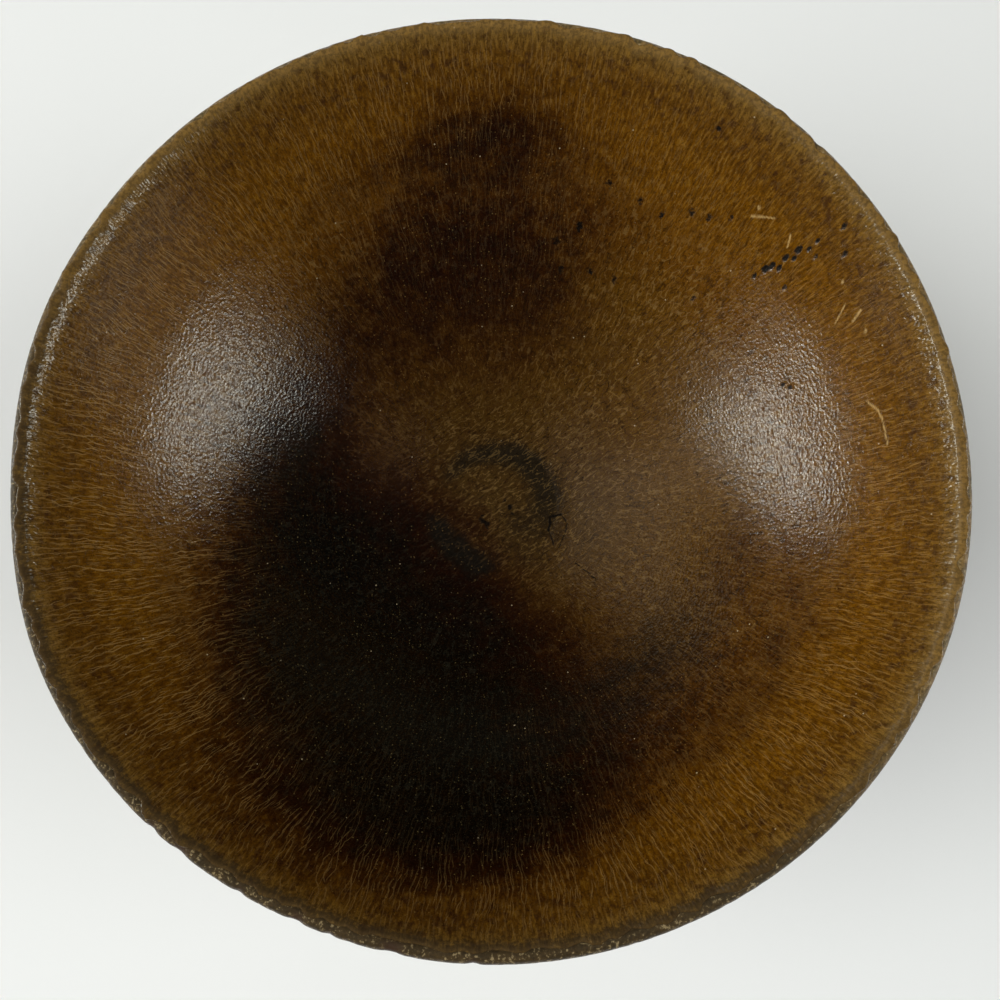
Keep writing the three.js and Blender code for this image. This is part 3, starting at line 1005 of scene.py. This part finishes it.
def glaze_colour(shader, fields, lines, light_felt, dark_felt):
    """The ground with its streaks, felt, dust, grit and flecks, and a scatter of painted glints."""
    colour, depth, shade, stain_and_painted_haze = glaze_ground(shader, fields, light_felt)
    light = shader.mix(shade, STREAK, STREAK_IN_SHADE)
    colour = shader.mix(shader.times(lines, 0.9), colour, light)
    matting = shader.spread(fields.down, 8, 24, 0.2, 0.5)
    colour = shader.mix(shader.times(dark_felt, matting), colour, DARK_FELT)
    pale = shader.mix(shader.spread(depth, 0.05, 0.7), LIGHT_FELT, FELT_IN_DEPTH)
    pale = shader.mix(stain_and_painted_haze, pale, FELT_IN_STAIN)
    pale = shader.mix(shade, pale, FELT_IN_SHADE)
    colour = shader.mix(shader.times(light_felt, matting), colour, pale)
    colour = shader.mix(shader.spread(fields.dust, 0.5, 0.7, 0.0, 0.5), colour, DUST)
    grit = shader.times(shader.spread(fields.dust, 0.28, 0.38, 0.7, 0.0), shade)
    colour = shader.mix(grit, colour, GRIT)
    flecks = dots(shader, fields.place, 1.8, (0.1, 0.24), (0.4, 1.0, 0.0, 0.75))
    flecks = shader.times(flecks, shader.spread(shade, 0.0, 1.0, 0.6, 1.0))
    colour = shader.mix(flecks, colour, shader.mix(shade, FLECK, FLECK_IN_SHADE))
    # Painted glints: tiny pale dots in place of specular sparkle
    painted_glints = dots(shader, fields.place, 0.6, (0.04, 0.09), (0.86, 0.88))
    return shader.mix(shader.times(painted_glints, 0.8), colour, PAINTED_GLINT)


def glaze_marks(shader, fields, colour):
    """The colour with scratches, pits and the dry edge of the coat, the dry edge with painted light on one
    side and painted shade across from it, and where the pits are.
    """
    wear_and_painted_shade = shader.times(fields.scratches, shader.spread(fields.fine, 0.3, 0.55, 0.2, 0.65))
    colour = shader.mix(wear_and_painted_shade, colour, SCRATCH)
    rough = shader.math("SUBTRACT", fields.fine, 0.5)
    ragged = shader.math("MULTIPLY_ADD", rough, 1.6, fields.pits)
    sunk = shader.times(shader.spread(ragged, 0.15, 0.7), shader.spread(fields.pits, 0.05, 0.3))
    colour = shader.mix(sunk, colour, PIT)
    fade = shader.spread(shader.math("MULTIPLY_ADD", rough, 1.2, fields.edge), 0.4, 1.0, 0.0, 0.85)
    # Painted light and shade: the dry edge is lighter on one side of the bowl and darker across from it
    painted_light_facing = shader.math("COSINE", shader.math("SUBTRACT", fields.turn, math.radians(PAINTED_LIGHT_ANGLE)))
    dry = shader.mix(shader.spread(painted_light_facing, -0.5, 0.2), DRY_PAINTED_SHADE, DRY_PAINTED_LIGHT)
    dry = shader.mix(shader.spread(fields.fine, 0.4, 0.62, 0.0, 0.6), dry, DRY_SPECK)
    return shader.mix(fade, colour, dry), sunk


def glaze_relief(shader, fields, lines, light_felt):
    """Pebbles, streaks, felt and pores, with ticks just below the lip, in millimetres."""
    cells = shader.add("ShaderNodeTexVoronoi", {"feature": "F1"}, Vector=fields.place, Scale=2.5)
    apart = cells.outputs["Distance"]
    beads = shader.noise(fields.place, 2.0, 0.5)
    pebbles = shader.math("MULTIPLY_ADD", shader.times(apart, apart), PEBBLE_FALL, beads)
    grain = shader.times(pebbles, shader.spread(fields.down, 14, 21, 0.5, 1.0))
    pores = shader.spread(fields.fine, 0.3, 0.4)
    ticking = wall_place(shader, fields, TICK_REACH, TICK_SQUEEZE)
    ticks = shader.noise(ticking, 2.6, 1.0, 0.6, flat=True)
    ticks = shader.times(ticks, shader.spread(fields.down, 1.5, 4.0, 1.0, 0.0))
    relief = shader.times(lines, STREAK_RELIEF)
    for layer, height in (
        (grain, GRAIN_RELIEF),
        (light_felt, FELT_RELIEF),
        (pores, PORE_RELIEF),
        (fields.fine, FINE_RELIEF),
        (ticks, TICK_RELIEF),
    ):
        relief = shader.math("MULTIPLY_ADD", layer, height, relief)
    return relief


def glaze_material(name):
    shader = Shader(name)
    fields = glaze_fields(shader)
    lines = light_streaks(shader, fields)
    light_felt, dark_felt = felt(shader, fields)
    colour = glaze_colour(shader, fields, lines, light_felt, dark_felt)
    colour, sunk = glaze_marks(shader, fields, colour)
    gloss = shader.spread(fields.mottle, 0.3, 0.7, 0.13, 0.17)
    roughness = shader.math("ADD", gloss, shader.spread(fields.down, 40, 60, 0.0, 0.1))
    roughness = shader.blend(sunk, roughness, PIT_ROUGHNESS)
    shader.link(shader.spread(fields.dust, 0.36, 0.6, 0.8, 0.3), shader.surface.inputs["Specular IOR Level"])
    return shader.finish(colour, roughness, glaze_relief(shader, fields, lines, light_felt))


# Colours and relief of the dry lip and the bare clay
SKIN_OCHRE = srgb(124, 98, 56)
SKIN_OLIVE = srgb(94, 78, 46)
SKIN_DARK = srgb(48, 38, 24)
# Painted shade colour for the lip's side turned away from the light
SKIN_PAINTED_SHADE = srgb(46, 37, 24)
SKIN_SPECK = srgb(148, 130, 94)
SKIN_CHIP = srgb(60, 44, 32)
SKIN_RELIEF = 0.1
CLAY_TONES = (srgb(102, 70, 53), srgb(72, 52, 42))
SLIP_TONES = (srgb(108, 82, 66), srgb(96, 74, 60))
CLAY_DARK_SPECK = srgb(46, 32, 26)
CLAY_LIGHT_SPECK = srgb(140, 112, 90)
CLAY_RELIEF = 0.12
FLOOR_TONES = (srgb(230, 232, 230), srgb(236, 238, 237))
FLOOR_ROUGHNESS = 0.9
FLOOR_RELIEF = 0.01


def lip_material():
    shader = Shader("lip_skin")
    place = shader.place()
    chips, wear_and_painted_shade, _ = shader.split(shader.attribute("marks"))
    coarse = shader.noise(place, 0.4, 3.0, 0.6)
    fine = shader.noise(place, 2.2, 3.0, 0.7)
    colour = shader.mix(shader.spread(coarse, 0.38, 0.62), SKIN_OCHRE, SKIN_OLIVE)
    colour = shader.mix(shader.spread(fine, 0.5, 0.66, 0.0, 0.75), colour, SKIN_DARK)
    # Painted shade on one side of the lip
    colour = shader.mix(shader.spread(wear_and_painted_shade, 0.4, 0.78, 0.0, 0.84), colour, SKIN_PAINTED_SHADE)
    colour = shader.mix(shader.spread(fine, 0.36, 0.45, 0.75, 0.0), colour, SKIN_SPECK)
    colour = shader.mix(chips, colour, SKIN_CHIP)
    roughness = shader.spread(fine, 0.3, 0.7, 0.3, 0.55)
    return shader.finish(colour, roughness, shader.times(fine, SKIN_RELIEF))


def clay_material(name, dark, light):
    shader = Shader(name)
    place = shader.place()
    coarse = shader.noise(place, 0.12, 3.0)
    fine = shader.noise(place, 2.2, 4.0, 0.7)
    colour = shader.mix(shader.spread(coarse, 0.3, 0.7), dark, light)
    colour = shader.mix(shader.spread(fine, 0.52, 0.7, 0.0, 0.6), colour, CLAY_DARK_SPECK)
    colour = shader.mix(shader.spread(fine, 0.3, 0.38, 0.5, 0.0), colour, CLAY_LIGHT_SPECK)
    roughness = shader.spread(fine, 0.3, 0.7, 0.7, 0.95)
    return shader.finish(colour, roughness, shader.times(fine, CLAY_RELIEF))


def floor_material():
    shader = Shader("pale_floor")
    place = shader.place()
    cloud = shader.noise(place, 0.004, 2.0)
    colour = shader.mix(cloud, *FLOOR_TONES)
    return shader.finish(colour, FLOOR_ROUGHNESS, shader.times(cloud, FLOOR_RELIEF))


# Assembly

glaze = glaze_material("streaked_glaze")
clay_finish = clay_material("iron_stoneware", *CLAY_TONES)
slip_finish = clay_material("fired_slip", *SLIP_TONES)

for piece, node, slot, finish in (
    (make_inner_glaze(), "inner_glaze", "inner_glaze", glaze),
    (make_lip_glaze(), "lip_glaze", "lip_glaze", lip_material()),
    (make_outer_glaze(), "outer_glaze", "outer_glaze", glaze),
    (make_bowl_body(), "bowl_body", "stoneware", clay_finish),
    (make_foot(), "pedestal_foot", "stoneware", clay_finish),
    (make_slip(), "luting_slip", "slip", slip_finish),
):
    piece.data.materials.append(finish)
    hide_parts(node)
    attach(piece, "root")

FLOOR_SIZE = 4.4
bpy.ops.mesh.primitive_plane_add(size=FLOOR_SIZE, location=(0, 0, 0))
floor = bpy.context.object
floor.name = "floor"
floor.data.materials.append(floor_material())

# A pale wall far behind the lamps, seen only by the camera so that the glaze keeps its plain reflections
WALL_RADIUS = 2.1
WALL_HEIGHT = 2.4
WALL_SIDES = 128
bpy.ops.mesh.primitive_cylinder_add(
    vertices=WALL_SIDES, radius=WALL_RADIUS, depth=WALL_HEIGHT,
    end_fill_type="NOTHING", location=(0, 0, WALL_HEIGHT / 2),
)
wall = bpy.context.object
wall.name = "backdrop"
wall.data.materials.append(floor.data.materials[0])
wall.visible_diffuse = False
wall.visible_glossy = False
wall.visible_shadow = False


# Light

NEUTRAL = (1.0, 1.0, 1.0)
WHITE = (0.96, 1.0, 0.92)
WARM = (1.0, 0.92, 0.74)
# Name, azimuth and elevation in degrees, distance, width, height, brightness, colour, roll, seen in the glaze
LAMPS = (
    ("right_window", -4, 16.2, 1.0, 0.58, 0.05, 13.2, WHITE, -14.5, True),
    ("right_veil", -6, 16.6, 1.1, 0.95, 0.12, 1.3, WHITE, -13.5, True),
    ("right_low", -14, 5, 1.2, 0.80, 0.14, 0.7, WARM, 0, True),
    ("left_window", 176, 15.2, 1.0, 0.50, 0.05, 17.4, WHITE, 13.5, True),
    ("left_veil", 178, 16.4, 1.1, 0.95, 0.13, 1.7, WHITE, 13, True),
    ("left_low", 170, 5, 1.2, 1.00, 0.14, 0.5, WARM, 0, True),
    ("left_sky", 157, 30, 1.3, 1.20, 0.50, 0.6, WARM, 0, True),
    ("left_high", 162, 52, 1.3, 0.80, 0.60, 0.22, WARM, 0, True),
    ("left_back", 130, 16, 1.2, 0.80, 0.30, 0.25, WARM, 0, True),
    ("key", 192, 42, 1.3, 1.0, 1.0, 5.2, NEUTRAL, 0, False),
    ("right_fill", -10, 40, 1.3, 0.8, 0.8, 3.8, NEUTRAL, 0, False),
    ("overhead", 90, 88, 1.4, 1.2, 1.2, 0.45, NEUTRAL, 0, False),
)
WORLD_COLOUR = (1, 1, 1, 1)
WORLD_STRENGTH = 0.02


def softbox(name, azimuth, elevation, distance, width, height, radiance, colour, roll, mirrored):
    """An area light that faces the bowl, with the brightness that a mirror of it would show."""
    light = bpy.data.lights.new(name, "AREA")
    light.shape = "RECTANGLE"
    light.size = width
    light.size_y = height
    light.color = colour
    light.energy = radiance * math.pi * width * height
    lamp = bpy.data.objects.new(name, light)
    around, up = math.radians(azimuth), math.radians(elevation)
    direction = Vector((math.cos(around) * math.cos(up), math.sin(around) * math.cos(up), math.sin(up)))
    lamp.location = Vector((0, 0, TOP)) + distance * direction
    painted_light_facing = direction.to_track_quat("Z", "Y") @ Quaternion((0, 0, 1), math.radians(roll))
    lamp.rotation_euler = painted_light_facing.to_euler()
    lamp.visible_glossy = mirrored
    bpy.context.scene.collection.objects.link(lamp)


for lamp in LAMPS:
    softbox(*lamp)

world = bpy.data.worlds.new("studio")
world.use_nodes = True
sky = world.node_tree.nodes["Background"]
sky.inputs["Color"].default_value = WORLD_COLOUR
sky.inputs["Strength"].default_value = WORLD_STRENGTH
bpy.context.scene.world = world
bpy.context.scene.view_settings.view_transform = "Standard"


# Camera, looking steeply down into the bowl

CAMERA_PLACE = (0.1 * MM, -26.1 * MM, 108.2 * MM)
CAMERA_TILT = 10.17
CAMERA_LEAN = -0.46
FOCAL_LENGTH = 32.76
SENSOR_WIDTH = 36
NEAR_CLIP = 0.01
camera = bpy.data.objects.new("camera", bpy.data.cameras.new("camera"))
camera.location = Vector(CAMERA_PLACE) + Vector((0, 0, TOP))
camera.rotation_euler = (math.radians(CAMERA_TILT), math.radians(CAMERA_LEAN), 0)
camera.data.lens = FOCAL_LENGTH
camera.data.sensor_width = SENSOR_WIDTH
camera.data.clip_start = NEAR_CLIP
bpy.context.scene.collection.objects.link(camera)
bpy.context.scene.camera = camera
